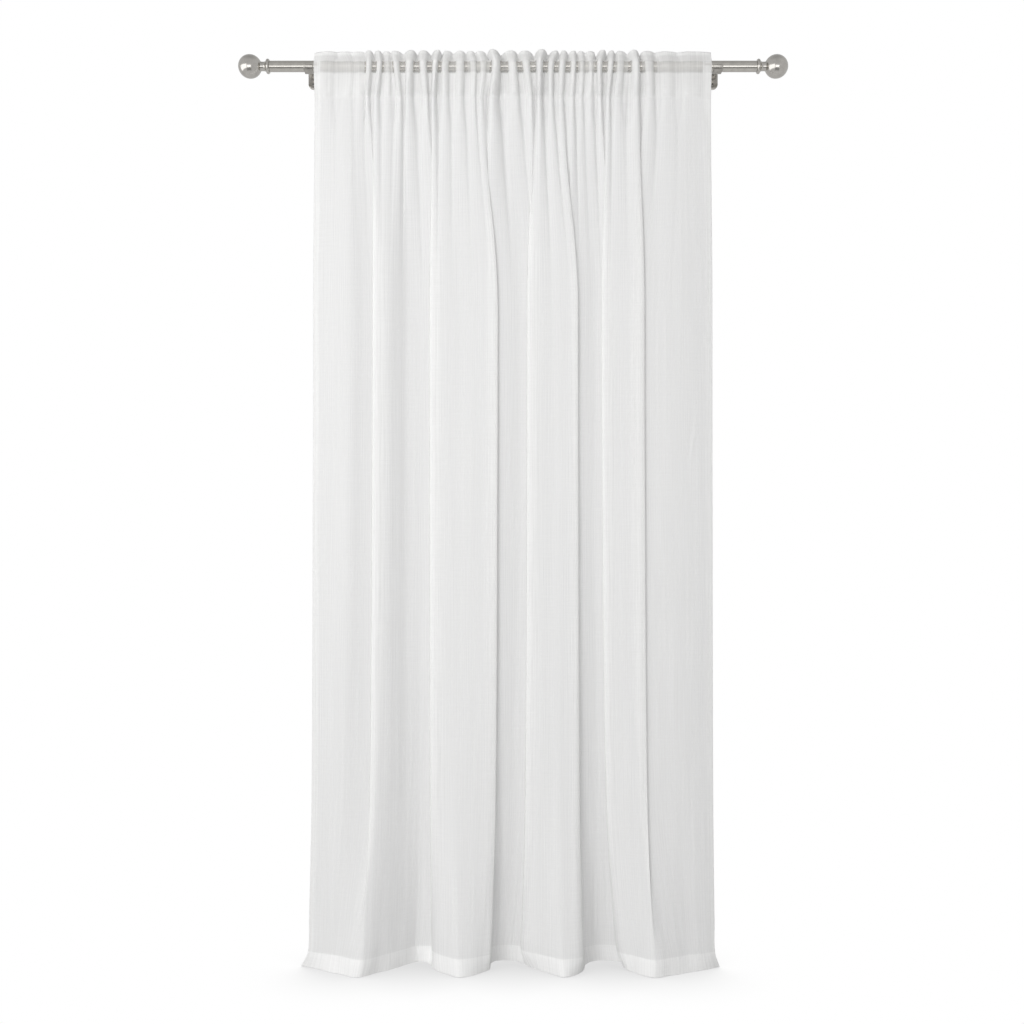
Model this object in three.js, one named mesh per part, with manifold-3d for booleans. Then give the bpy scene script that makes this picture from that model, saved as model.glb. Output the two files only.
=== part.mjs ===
// A sheer voile curtain with a rod pocket, gathered on a brushed nickel rod with ball finials.
// Millimetres, +Z up. The origin is on the floor under the middle of the rod, +X runs to the
// right along the rod and +Y runs back to the wall that the brackets are screwed to.
import * as THREE from 'three';
import { mergeVertices } from 'three/addons/utils/BufferGeometryUtils.js';
import Module from 'manifold-3d';

const wasm = await Module();
wasm.setup();

// Driving dimensions of the cloth. The panel is 52 x 84 inches finished.
const CLOTH_WIDTH = 1321;
const CLOTH_HEIGHT = 2134;
const SHEET = 1.6;
const HEM_SHEET = 2.4;
const HEADER_SHEET = 2.2;
const POCKET_SHEET = 1.1;
const SIDE_HEM = 16;
const BOTTOM_HEM = 40;
const STITCH_HEIGHT = 2028;
const HEADER_DIP = 0.35;
const GATHER_LIMIT = 12;
const FLAT_END = 60;

// Driving dimensions of the rod and its finials.
const ROD_DIAMETER = 25.4;
const ROD_WALL = 1.2;
const ROD_LENGTH = 1134;
const ROD_HEIGHT = 2100;
const BALL_DIAMETER = 54.5;
const BALL_CENTRE = 46;
const COLLAR_DIAMETER = 34.4;
const COLLAR_WIDTH = 7.6;
const NECK_DIAMETER = 21.2;
const NECK_START = 12.9;
const NECK_END = 19;
const NECK_FLARE = 1.4;
const SPIGOT_LENGTH = 24;

// Driving dimensions of the brackets, with a 3 inch projection from the wall to the rod's axis.
const PROJECTION = 76.2;
const BRACKET_X = 476;
const PLATE_WIDTH = 26;
const PLATE_HEIGHT = 66;
const PLATE_THICKNESS = 3;
const PLATE_CENTRE = 2104;
const CRADLE_WIDTH = 22;
const CRADLE_WALL = 4;
const CRADLE_BACK = 9;
const CRADLE_CORNER = 6;
const ARM_WIDTH = 14;
const ARM_HEIGHT = 11;
const SCREW_SPACING = 44;
const SCREW_HEAD = 8.4;
const SCREW_HEAD_HEIGHT = 2.8;
const SCREW_SHANK = 4;
const SCREW_HOLE = 4.8;

// Pieces that touch keep this much air, so that no two solids share a face.
const GAP = 0.3;

const ROD_RADIUS = ROD_DIAMETER / 2;
const BORE_RADIUS = ROD_RADIUS - ROD_WALL;
const ROUND_STEPS = 24;
const SCREW_STEPS = 14;

// Materials.
const voile = new THREE.MeshStandardMaterial({ color: 0xf1f1ef, roughness: 0.9, metalness: 0 });
const nickel = new THREE.MeshStandardMaterial({ color: 0xa8a39b, roughness: 0.32, metalness: 1 });
const nickelCast = new THREE.MeshStandardMaterial({ color: 0x8f8b84, roughness: 0.4, metalness: 1 });
const screwSteel = new THREE.MeshStandardMaterial({ color: 0x77746e, roughness: 0.35, metalness: 1 });

const curtain = new THREE.Group();

function add(name, geometry, material) {
  const mesh = new THREE.Mesh(geometry, material);
  mesh.name = name;
  curtain.add(mesh);
  return mesh;
}

// The main folds. Each row is one crest, foot or valley that runs down the cloth, with its
// x and its depth y (front is minus) at the heights in FOLD_HEIGHTS.
const FOLD_HEIGHTS = [1532, 1160, 391, BOTTOM_HEM, 0];
const FOLDS = [
  { at: 'left edge', heading: -463, x: [-467, -469, -475, -477, -496], y: [6, 8, 4, -6, 10] },
  { at: 'panel 1', heading: -426, x: [-414, -412, -404, -403, -405], y: [-22, -24, -30, -34, -39] },
  { at: 'front 1', heading: -375, x: [-360, -355, -348, -350, -358], y: [-12, -18, -50, -62, -62] },
  { at: 'ridge A', heading: -319, x: [-313, -306, -305, -322, -328], y: [-40, -42, -46, -47, -48] },
  { at: 'back A', heading: -297, x: [-292, -288, -288, -288, -288], y: [8, 10, 8, 7, 7] },
  { at: 'valley 1', heading: -252, x: [-251, -246, -246, -238, -235], y: [38, 40, 45, 42, 50] },
  { at: 'foot B', heading: -203, x: [-201, -199, -199, -201, -201], y: [38, 38, 40, 26, 36] },
  { at: 'ridge B', heading: -191, x: [-183, -180, -176, -170, -167], y: [-26, -26, -24, -26, -24] },
  { at: 'front 2', heading: -128, x: [-130, -132, -122, -124, -124], y: [-18, -22, -50, -61, -61] },
  { at: 'ridge C', heading: -54, x: [-58, -60, -67, -84, -90], y: [-44, -44, -46, -38, -36] },
  { at: 'foot C', heading: -31, x: [-31, -31, -43, -55, -59], y: [22, 28, 34, 34, 36] },
  { at: 'valley 2', heading: 2, x: [-3, -3, -19, -30, -34], y: [40, 44, 58, 54, 64] },
  { at: 'foot D', heading: 39, x: [30, 28, 14, 4, 2], y: [32, 34, 36, 35, 40] },
  { at: 'ridge D', heading: 58, x: [43, 41, 48, 41, 39], y: [-30, -30, -12, -4, -2] },
  { at: 'front 3', heading: 91, x: [83, 81, 89, 85, 84], y: [-16, -20, -42, -46, -46] },
  { at: 'ridge E', heading: 114, x: [131, 133, 134, 122, 120], y: [-40, -44, -58, -62, -62] },
  { at: 'foot E', heading: 158, x: [166, 169, 171, 171, 171], y: [22, 26, 28, 16, 14] },
  { at: 'valley 3', heading: 179, x: [191, 196, 201, 201, 201], y: [36, 38, 42, 36, 44] },
  { at: 'ridge F', heading: 216, x: [216, 219, 244, 249, 249], y: [-32, -30, -8, -5, -4] },
  { at: 'front 4', heading: 254, x: [255, 259, 285, 285, 285], y: [-16, -20, -38, -36, -36] },
  { at: 'ridge G', heading: 286, x: [294, 299, 325, 322, 321], y: [-40, -36, -52, -62, -63] },
  { at: 'right panel', heading: 370, x: [378, 380, 397, 398, 399], y: [-10, -12, -28, -30, -30] },
  { at: 'right edge', heading: 461, x: [465, 467, 469, 469, 482], y: [4, 4, 2, -9, 4] },
];

// The crests of the small gathers at the heading, from left to right, as unevenly as they bunch.
const GATHER_CRESTS = [
  -463, -428, -394, -364, -336, -313, -294, -274, -238, -208, -177, -158, -120, -98, -76, -48,
  -4, 29, 58, 80, 100, 118, 141, 158, 178, 210, 230, 248, 282, 312, 360, 410, 461,
];

// Flat cloth at four places along the heading: its two ends hang almost flat and the rest is
// evenly full. The gathers follow this by the share below, and the folds under them by the rest.
const EVEN_HEADING = { x: [-463, -380, 320, 461], cloth: [0, 90, 1173, CLOTH_WIDTH] };
const EVEN_SHARE = 0.5;

// A smooth curve through the points (xs, ys), without overshoot between them.
function monotone(xs, ys) {
  const slopes = xs.slice(1).map((x, i) => (ys[i + 1] - ys[i]) / (x - xs[i]));
  const tangents = xs.map((x, i) => {
    const before = slopes[Math.max(i - 1, 0)];
    const after = slopes[Math.min(i, slopes.length - 1)];
    return before * after <= 0 ? 0 : (2 * before * after) / (before + after);
  });
  return (x) => {
    let i = 0;
    while (i < xs.length - 2 && x > xs[i + 1]) i += 1;
    const span = xs[i + 1] - xs[i];
    const t = (x - xs[i]) / span;
    const rise = ys[i + 1] - ys[i];
    const start = span * tangents[i];
    const end = span * tangents[i + 1];
    return ys[i] + t * (start + t * (3 * rise - 2 * start - end + t * (start + end - 2 * rise)));
  };
}

// One level section of the folds, as x and y at a place s along the flat cloth. The depth is
// scaled so that the section is exactly as long as the cloth is wide.
const STEPS_A_FOLD = 16;
const HALVINGS = 30;
function foldSection(level) {
  const rows = FOLDS.map((fold, i) => i);
  const along = monotone(rows, FOLDS.map((fold) => fold.x[level]));
  const depth = monotone(rows, FOLDS.map((fold) => fold.y[level]));
  const steps = (FOLDS.length - 1) * STEPS_A_FOLD;
  const places = Array.from({ length: steps + 1 }, (unused, i) => i / STEPS_A_FOLD);
  const lengths = (scale) => {
    const run = [0];
    for (let i = 1; i <= steps; i += 1) {
      const dx = along(places[i]) - along(places[i - 1]);
      const dy = (depth(places[i]) - depth(places[i - 1])) * scale;
      run.push(run[i - 1] + Math.hypot(dx, dy));
    }
    return run;
  };
  let low = 0.5;
  let high = 2;
  for (let i = 0; i < HALVINGS; i += 1) {
    const middle = (low + high) / 2;
    if (lengths(middle)[steps] < CLOTH_WIDTH) low = middle;
    else high = middle;
  }
  const run = lengths(low);
  const placeAt = (s) => {
    let i = 1;
    while (i < steps && run[i] < s) i += 1;
    return places[i - 1] + ((s - run[i - 1]) / (run[i] - run[i - 1])) * (places[i] - places[i - 1]);
  };
  return {
    at: (s) => ({ x: along(placeAt(s)), y: depth(placeAt(s)) * low }),
    lengthAtFold: (fold) => run[fold * STEPS_A_FOLD],
  };
}

const SECTIONS = FOLD_HEIGHTS.map((height, level) => foldSection(level));

// Where a place x along the heading lies on the flat cloth: partly where the folds below take
// it up, and partly evenly.
const headingX = FOLDS.map((fold) => fold.heading);
const clothAtFold = FOLDS.map((fold, i) => SECTIONS[0].lengthAtFold(i));
clothAtFold[clothAtFold.length - 1] = CLOTH_WIDTH;
const foldedCloth = monotone(headingX, clothAtFold);
const evenCloth = monotone(EVEN_HEADING.x, EVEN_HEADING.cloth);
const clothAt = (x) => THREE.MathUtils.lerp(foldedCloth(x), evenCloth(x), EVEN_SHARE);

// The small gathers: their wave is 1 on a crest and -1 between two, and they stand out as far
// as the spare cloth in them needs.
function gatherAt(x) {
  let i = 0;
  while (i < GATHER_CRESTS.length - 2 && x > GATHER_CRESTS[i + 1]) i += 1;
  const pitch = GATHER_CRESTS[i + 1] - GATHER_CRESTS[i];
  const phase = (x - GATHER_CRESTS[i]) / pitch;
  const reach = pitch / 4;
  const fullness = (clothAt(x + reach) - clothAt(x - reach)) / (2 * reach);
  const depth = reach * Math.sqrt(Math.max(fullness * fullness - 1, 0));
  return { wave: Math.cos(2 * Math.PI * phase), depth: Math.min(depth, GATHER_LIMIT) };
}

// The columns of the cloth: four to a gather, and plain steps along its two flat ends.
const columns = [];
for (let i = 0; i < GATHER_CRESTS.length - 1; i += 1) {
  const pitch = GATHER_CRESTS[i + 1] - GATHER_CRESTS[i];
  for (let quarter = 0; quarter < 4; quarter += 1) {
    columns.push(GATHER_CRESTS[i] + (pitch * quarter) / 4);
  }
}
columns.push(GATHER_CRESTS[GATHER_CRESTS.length - 1]);

const left = columns[0];
const right = columns[columns.length - 1];
const cloth = columns.map((x) => {
  const fade = THREE.MathUtils.smoothstep(Math.min(x - left, right - x), 0, FLAT_END);
  const gather = gatherAt(THREE.MathUtils.clamp(x, left + SIDE_HEM, right - SIDE_HEM));
  return { x, s: clothAt(x), wave: gather.wave, depth: gather.depth * fade };
});

const GATHERS_END = FOLD_HEIGHTS[0];

// The middle of the cloth at a column and a height.
function clothPoint(column, z) {
  const gathered = { x: column.x, y: -column.depth * column.wave };
  if (z >= STITCH_HEIGHT) return gathered;
  if (z >= GATHERS_END) {
    const t = (STITCH_HEIGHT - z) / (STITCH_HEIGHT - GATHERS_END);
    const folded = SECTIONS[0].at(column.s);
    const turn = (t * Math.PI) / 2;
    return {
      x: THREE.MathUtils.lerp(gathered.x, folded.x, THREE.MathUtils.smoothstep(t, 0, 1)),
      y: gathered.y * Math.cos(turn) + folded.y * Math.sin(turn),
    };
  }
  let level = 1;
  while (z < FOLD_HEIGHTS[level]) level += 1;
  const upper = SECTIONS[level - 1].at(column.s);
  const lower = SECTIONS[level].at(column.s);
  const t = (FOLD_HEIGHTS[level - 1] - z) / (FOLD_HEIGHTS[level - 1] - FOLD_HEIGHTS[level]);
  return { x: THREE.MathUtils.lerp(upper.x, lower.x, t), y: THREE.MathUtils.lerp(upper.y, lower.y, t) };
}

// The level rows of the plain cloth, from the stitch line down to the floor.
const HEM_STEP = 3;
const BODY_ROWS = [
  { z: STITCH_HEIGHT, sheet: HEADER_SHEET },
  { z: 1890, sheet: SHEET },
  { z: 1730, sheet: SHEET },
  { z: GATHERS_END, sheet: SHEET },
  { z: 1160, sheet: SHEET },
  { z: 391, sheet: SHEET },
  { z: BOTTOM_HEM + HEM_STEP, sheet: SHEET },
  { z: BOTTOM_HEM, sheet: HEM_SHEET },
  { z: 0, sheet: HEM_SHEET },
];

// The rod pocket wraps the rod as half an octagon on each side, then closes to the stitch line.
// Each row gives its height above the rod's axis and its half width, as parts of the radius.
const POCKET_GAP = 0.4;
const POCKET_RADIUS = ROD_RADIUS + POCKET_GAP;
const CORNER = Math.tan(Math.PI / 8);
const POCKET_ROWS = [
  { up: 1, half: CORNER },
  { up: CORNER, half: 1 },
  { up: -CORNER, half: 1 },
];

// Sideways directions across a row of points, lengthened at corners to keep the thickness.
function across(points) {
  return points.map((point, i) => {
    const before = points[Math.max(i - 1, 0)];
    const after = points[Math.min(i + 1, points.length - 1)];
    const first = new THREE.Vector2(point.x - before.x, point.y - before.y);
    const second = new THREE.Vector2(after.x - point.x, after.y - point.y);
    if (i === 0) first.copy(second);
    if (i === points.length - 1) second.copy(first);
    first.normalize();
    second.normalize();
    const along = first.clone().add(second).normalize();
    const stretch = Math.min(1 / Math.max(along.dot(first), 0.1), 1.5);
    return new THREE.Vector2(along.y, -along.x).multiplyScalar(stretch);
  });
}

function curtainPanel() {
  const positions = [];
  const triangles = [];
  const put = (x, y, z) => positions.push(x, y, z) / 3 - 1;
  const outer = columns.map(() => ({ front: [], back: [] }));
  const inner = columns.map(() => ({ front: [], back: [] }));

  // A row of the single sheet, half its thickness to each side of the middle.
  const sheetRow = (heightOf, sheetOf) => {
    const points = cloth.map((column, i) => clothPoint(column, heightOf(column, i)));
    const sides = across(points);
    points.forEach((point, i) => {
      const half = sheetOf(cloth[i]) / 2;
      const z = heightOf(cloth[i], i);
      outer[i].front.push(put(point.x + sides[i].x * half, point.y + sides[i].y * half, z));
      outer[i].back.push(put(point.x - sides[i].x * half, point.y - sides[i].y * half, z));
    });
  };
  // A point on the pocket's own seam, where its front and back layers part.
  const seamRow = (z) => cloth.forEach((column, i) => {
    const point = clothPoint(column, STITCH_HEIGHT);
    const seam = put(point.x, point.y, z);
    inner[i].front.push(seam);
    inner[i].back.push(seam);
  });
  const pocketRow = (row) => {
    const points = cloth.map((column) => clothPoint(column, STITCH_HEIGHT));
    const sides = across(points);
    points.forEach((point, i) => {
      const half = cloth[i].depth + POCKET_RADIUS * row.half;
      const z = ROD_HEIGHT + POCKET_RADIUS * row.up;
      const outerHalf = cloth[i].depth + (POCKET_RADIUS + POCKET_SHEET) * row.half;
      const outerZ = ROD_HEIGHT + (POCKET_RADIUS + POCKET_SHEET) * row.up;
      const slide = sides[i].x * POCKET_SHEET;
      inner[i].front.push(put(point.x, point.y - half, z));
      inner[i].back.push(put(point.x, point.y + half, z));
      outer[i].front.push(put(point.x + slide, point.y - outerHalf, outerZ));
      outer[i].back.push(put(point.x - slide, point.y + outerHalf, outerZ));
    });
  };

  const seamTop = ROD_HEIGHT + POCKET_RADIUS + POCKET_GAP;
  const headerTop = (column) => CLOTH_HEIGHT - HEADER_DIP * column.depth * (1 - column.wave);
  sheetRow(headerTop, () => HEADER_SHEET);
  sheetRow(() => seamTop + POCKET_SHEET, () => HEADER_SHEET);
  seamRow(seamTop);
  POCKET_ROWS.forEach(pocketRow);
  seamRow(STITCH_HEIGHT + 2 * POCKET_SHEET);
  const sideHem = (column) => Math.min(column.s, CLOTH_WIDTH - column.s) < SIDE_HEM;
  BODY_ROWS.forEach((row) => {
    sheetRow(() => row.z, (column) => (sideHem(column) ? HEM_SHEET : row.sheet));
  });

  const quad = (a, b, c, d) => triangles.push(a, b, d, b, c, d);
  // A loop runs down one side of the cloth, as far as the point turn, and back up the other.
  // Both sides are split along the same slant, so that the cloth keeps its thickness in between.
  const loft = (loops, turn) => {
    for (let i = 0; i < loops.length - 1; i += 1) {
      const loop = loops[i];
      const next = loops[i + 1];
      loop.forEach((point, j) => {
        const k = (j + 1) % loop.length;
        if (j < turn) quad(point, loop[k], next[k], next[j]);
        else quad(loop[k], next[k], next[j], point);
      });
    }
  };
  const outerLoops = outer.map((side) => [...side.front, ...[...side.back].reverse()]);
  const innerLoops = inner.map((side) => [...side.back, ...side.front.slice(1, -1).reverse()]);
  loft(outerLoops, outer[0].front.length);
  loft(innerLoops, inner[0].back.length - 1);

  // The two side edges: strips of quads from the cloth's front to its back.
  const strip = (fronts, backs, flip) => {
    for (let j = 0; j < fronts.length - 1; j += 1) {
      const corners = [fronts[j], backs[j], backs[j + 1], fronts[j + 1]];
      if (flip) corners.reverse();
      triangles.push(corners[0], corners[1], corners[2], corners[0], corners[2], corners[3]);
    }
  };
  const sideEdge = (i, flip) => {
    const { front, back } = outer[i];
    const pocketEnd = 2 + POCKET_ROWS.length;
    const seam = inner[i];
    strip(front.slice(0, 2), back.slice(0, 2), flip);
    strip(front.slice(1, pocketEnd + 1), seam.front, flip);
    strip(seam.back, back.slice(1, pocketEnd + 1), flip);
    strip(front.slice(pocketEnd), back.slice(pocketEnd), flip);
    const top = [front[1], back[1], seam.front[0]];
    const bottom = [seam.front[seam.front.length - 1], back[pocketEnd], front[pocketEnd]];
    triangles.push(...(flip ? top.reverse() : top));
    triangles.push(...(flip ? bottom.reverse() : bottom));
  };
  sideEdge(0, false);
  sideEdge(columns.length - 1, true);

  const geometry = new THREE.BufferGeometry();
  geometry.setAttribute('position', new THREE.Float32BufferAttribute(positions, 3));
  geometry.setIndex(triangles);
  geometry.computeVertexNormals();
  return geometry;
}

// Turned pieces. A profile holds pairs of radius and distance along the axis, which is +X.
function turned(profile, steps) {
  const points = profile.map(([radius, along]) => new THREE.Vector2(radius, along));
  const geometry = new THREE.LatheGeometry(points, steps);
  geometry.rotateZ(-Math.PI / 2);
  return geometry;
}

function rodTube() {
  const half = ROD_LENGTH / 2;
  return turned([
    [BORE_RADIUS, -half],
    [ROD_RADIUS, -half],
    [ROD_RADIUS, half],
    [BORE_RADIUS, half],
    [BORE_RADIUS, -half],
  ], ROUND_STEPS);
}

// Points of an arc from one angle to another, in degrees from +X of the profile plane.
function arc(centreRadius, centreAlong, width, height, from, to, steps) {
  return Array.from({ length: steps + 1 }, (unused, i) => {
    const angle = THREE.MathUtils.degToRad(from + ((to - from) * i) / steps);
    return [centreRadius + width * Math.cos(angle), centreAlong + height * Math.sin(angle)];
  });
}

// A ball finial whose spigot plugs into the tube. Its collar sits on the tube's end at 0.
function ballFinial() {
  const spigot = BORE_RADIUS - GAP;
  const collarCentre = GAP + COLLAR_WIDTH / 2;
  const ball = BALL_DIAMETER / 2;
  const neck = NECK_DIAMETER / 2;
  const collarBase = neck + 2 * NECK_FLARE;
  const collarRise = COLLAR_DIAMETER / 2 - collarBase;
  const join = THREE.MathUtils.radToDeg(Math.acos((neck + NECK_FLARE) / ball));
  return turned([
    [0, -SPIGOT_LENGTH],
    [spigot, -SPIGOT_LENGTH],
    [spigot, GAP],
    ...arc(collarBase, collarCentre, collarRise, COLLAR_WIDTH / 2, -90, 90, 5),
    [neck + NECK_FLARE / 2, (collarCentre + COLLAR_WIDTH / 2 + NECK_START) / 2],
    [neck, NECK_START],
    [neck, NECK_END],
    ...arc(0, BALL_CENTRE, ball, ball, -join, 78, 8),
    [0, BALL_CENTRE + ball],
  ], ROUND_STEPS);
}

// Booleans, on meshes whose shared corners are merged.
function solid(geometry) {
  const bare = geometry.clone();
  bare.deleteAttribute('normal');
  bare.deleteAttribute('uv');
  const merged = mergeVertices(bare, 1e-4);
  const vertProperties = new Float32Array(merged.attributes.position.array);
  const triVerts = new Uint32Array(merged.index.array);
  return new wasm.Manifold(new wasm.Mesh({ numProp: 3, vertProperties, triVerts }));
}

function geometryOf(manifold) {
  const mesh = manifold.getMesh();
  const geometry = new THREE.BufferGeometry();
  geometry.setAttribute('position', new THREE.Float32BufferAttribute(mesh.vertProperties, 3));
  geometry.setIndex(Array.from(mesh.triVerts));
  geometry.computeVertexNormals();
  return geometry;
}

function extruded(shape, depth, curveSegments) {
  return new THREE.ExtrudeGeometry(shape, { depth, bevelEnabled: false, curveSegments });
}

// A bracket around its own rod axis: X along the rod, Y back to the wall, Z up.
function bracket() {
  const plateFront = PROJECTION - PLATE_THICKNESS;
  const end = PLATE_WIDTH / 2;
  const straight = PLATE_HEIGHT / 2 - end;
  const outline = new THREE.Shape();
  outline.moveTo(-end, -straight);
  outline.absarc(0, -straight, end, Math.PI, 2 * Math.PI, false);
  outline.absarc(0, straight, end, 0, Math.PI, false);
  const plate = extruded(outline, PLATE_THICKNESS, 8);
  plate.rotateX(Math.PI / 2);
  plate.translate(0, PROJECTION, PLATE_CENTRE - ROD_HEIGHT);

  // The cradle's section in the Y-Z plane: a half ring under the rod and a low wall behind it.
  const inside = ROD_RADIUS + GAP;
  const outside = inside + CRADLE_WALL;
  const section = new THREE.Shape();
  section.moveTo(-outside, 0);
  section.absarc(0, 0, outside, Math.PI, 2 * Math.PI, false);
  section.lineTo(outside, CRADLE_BACK);
  section.lineTo(inside, CRADLE_BACK);
  section.absarc(0, 0, inside, 0, Math.PI, true);
  const ring = extruded(section, CRADLE_WIDTH, 10);
  ring.rotateX(Math.PI / 2);
  ring.rotateZ(Math.PI / 2);
  ring.translate(-CRADLE_WIDTH / 2, 0, 0);

  // Seen from the front, the cradle's lower corners are rounded.
  const half = CRADLE_WIDTH / 2;
  const face = new THREE.Shape();
  const turnX = half - CRADLE_CORNER;
  const turnY = CRADLE_CORNER - outside;
  face.moveTo(-half, CRADLE_BACK + 1);
  face.absarc(-turnX, turnY, CRADLE_CORNER, Math.PI, 1.5 * Math.PI, false);
  face.absarc(turnX, turnY, CRADLE_CORNER, 1.5 * Math.PI, 2 * Math.PI, false);
  face.lineTo(half, CRADLE_BACK + 1);
  const block = extruded(face, 2 * outside + 2, 5);
  block.rotateX(Math.PI / 2);
  block.translate(0, outside + 1, 0);

  const armStart = inside + CRADLE_WALL / 2;
  const arm = new THREE.BoxGeometry(ARM_WIDTH, plateFront + 1 - armStart, ARM_HEIGHT);
  arm.translate(0, (plateFront + 1 + armStart) / 2, 0);

  let body = solid(ring).intersect(solid(block)).add(solid(plate)).add(solid(arm));
  for (const side of [-1, 1]) {
    const hole = new THREE.CylinderGeometry(SCREW_HOLE / 2, SCREW_HOLE / 2, PLATE_THICKNESS + 2, SCREW_STEPS);
    const holeZ = PLATE_CENTRE - ROD_HEIGHT + (side * SCREW_SPACING) / 2;
    hole.translate(0, PROJECTION - PLATE_THICKNESS / 2, holeZ);
    body = body.subtract(solid(hole));
  }
  return geometryOf(body);
}

// A round-headed wall screw, cut off level with the back of the plate. Its head points to -Y.
function wallScrew() {
  const shank = SCREW_SHANK / 2;
  const head = SCREW_HEAD / 2;
  const seat = PLATE_THICKNESS + GAP;
  const geometry = turned([
    [0, 0],
    [shank, 0],
    [shank, seat],
    [head, seat],
    [head, seat + 0.6],
    ...arc(0, seat + 0.6, head, SCREW_HEAD_HEIGHT - 0.6, 30, 65, 1),
    [0, seat + SCREW_HEAD_HEIGHT],
  ], SCREW_STEPS);
  geometry.rotateZ(-Math.PI / 2);
  return geometry;
}

add('curtain_panel', curtainPanel(), voile);

const tube = add('rod_tube', rodTube(), nickel);
tube.position.set(0, 0, ROD_HEIGHT);

for (const side of [{ name: 'left', sign: -1 }, { name: 'right', sign: 1 }]) {
  const finial = add(`finial_${side.name}`, ballFinial(), nickel);
  finial.position.set((side.sign * ROD_LENGTH) / 2, 0, ROD_HEIGHT);
  if (side.sign < 0) finial.rotation.y = Math.PI;
  const holder = add(`bracket_${side.name}`, bracket(), nickelCast);
  holder.position.set(side.sign * BRACKET_X, 0, ROD_HEIGHT);
  for (const level of [{ name: 'upper', sign: 1 }, { name: 'lower', sign: -1 }]) {
    const screw = add(`screw_${side.name}_${level.name}`, wallScrew(), screwSteel);
    const height = PLATE_CENTRE + (level.sign * SCREW_SPACING) / 2;
    screw.position.set(side.sign * BRACKET_X, PROJECTION, height);
  }
}

export default curtain;
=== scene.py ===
import math

import bmesh
import bpy
from mathutils import Matrix, Vector


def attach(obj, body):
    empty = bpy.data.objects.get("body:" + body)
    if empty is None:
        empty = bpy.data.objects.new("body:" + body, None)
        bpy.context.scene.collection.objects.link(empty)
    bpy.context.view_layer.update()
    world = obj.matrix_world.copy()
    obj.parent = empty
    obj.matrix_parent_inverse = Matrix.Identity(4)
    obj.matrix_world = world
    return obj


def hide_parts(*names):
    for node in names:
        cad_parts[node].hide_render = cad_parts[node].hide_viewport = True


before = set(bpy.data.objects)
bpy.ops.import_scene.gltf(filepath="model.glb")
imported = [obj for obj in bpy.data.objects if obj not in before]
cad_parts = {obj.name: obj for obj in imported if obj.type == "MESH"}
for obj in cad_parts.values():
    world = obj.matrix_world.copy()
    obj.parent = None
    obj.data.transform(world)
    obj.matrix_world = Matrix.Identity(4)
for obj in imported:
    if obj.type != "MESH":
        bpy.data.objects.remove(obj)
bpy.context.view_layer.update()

# Two wall brackets, cast in zinc and plated in satin nickel. Each has a round-ended plate
# against the wall, an arm, and an open cradle that the rod drops into from above.
ROD_AXIS = 2.100
WALL = 0.0762
BRACKET_AT = 0.476
PLATE_WIDTH, PLATE_HEIGHT, PLATE_THICKNESS = 0.026, 0.066, 0.003
PLATE_CENTRE = 2.104
SCREW_SPACING, SCREW_HOLE = 0.044, 0.0048
CRADLE_INSIDE, CRADLE_WALL, CRADLE_WIDTH = 0.0130, 0.004, 0.022
CRADLE_BACK, CRADLE_CORNER = 0.009, 0.006
ARM_WIDTH, ARM_HEIGHT = 0.014, 0.011
PLATE_EDGE, CRADLE_EDGE = 0.0009, 0.0008

# The arm from the cradle to the plate: the length of each stretch, and its width at the end as a
# share of the arm's own.
ARM_STRETCHES = [(0.044, 1.0), (0.008, 1.06), (0.003, 1.2), (0.0017, 1.45), (0.0015, 1.5)]
UPRIGHT = Matrix.Rotation(math.pi / 2, 3, "X")


def new_material(name):
    """An empty node material: its tree, its output and its Principled shader."""
    material = bpy.data.materials.new(name)
    material.use_nodes = True
    tree = material.node_tree
    return material, tree, tree.nodes["Material Output"], tree.nodes["Principled BSDF"]


def grain(tree, stretch, size, detail=3.0, coordinates="Object"):
    """Noise on the piece's own coordinates, stretched along x, y and z, from 0 to 1."""
    where = tree.nodes.new("ShaderNodeTexCoord")
    mapping = tree.nodes.new("ShaderNodeMapping")
    noise = tree.nodes.new("ShaderNodeTexNoise")
    mapping.inputs["Scale"].default_value = stretch
    noise.inputs["Scale"].default_value = size
    noise.inputs["Detail"].default_value = detail
    tree.links.new(where.outputs[coordinates], mapping.inputs["Vector"])
    tree.links.new(mapping.outputs["Vector"], noise.inputs["Vector"])
    return noise.outputs["Fac"]


def ranged(tree, value, low, high, start=0.3, end=0.7):
    """The value between start and end, spread out from low to high."""
    spread = tree.nodes.new("ShaderNodeMapRange")
    limits = {"From Min": start, "From Max": end, "To Min": low, "To Max": high}
    for socket, number in limits.items():
        spread.inputs[socket].default_value = number
    tree.links.new(value, spread.inputs["Value"])
    return spread.outputs["Result"]


def metal(name, dark, light, stretch, size, rough, bump):
    """Plated metal, whose fine grain varies its tone, its roughness and its surface."""
    material, tree, output, shader = new_material(name)
    shader.inputs["Metallic"].default_value = 1.0
    fine = grain(tree, stretch, size)
    patches = grain(tree, (1, 1, 1), 90.0)
    tone = tree.nodes.new("ShaderNodeMix")
    tone.data_type = "RGBA"
    tone.inputs["A"].default_value = (*dark, 1)
    tone.inputs["B"].default_value = (*light, 1)
    tree.links.new(ranged(tree, patches, 0, 1), tone.inputs["Factor"])
    tree.links.new(tone.outputs["Result"], shader.inputs["Base Color"])
    tree.links.new(ranged(tree, fine, rough[0], rough[1]), shader.inputs["Roughness"])
    relief = tree.nodes.new("ShaderNodeBump")
    relief.inputs["Strength"].default_value = bump
    relief.inputs["Distance"].default_value = 0.0002
    tree.links.new(fine, relief.inputs["Height"])
    tree.links.new(relief.outputs["Normal"], shader.inputs["Normal"])
    return material


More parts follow.
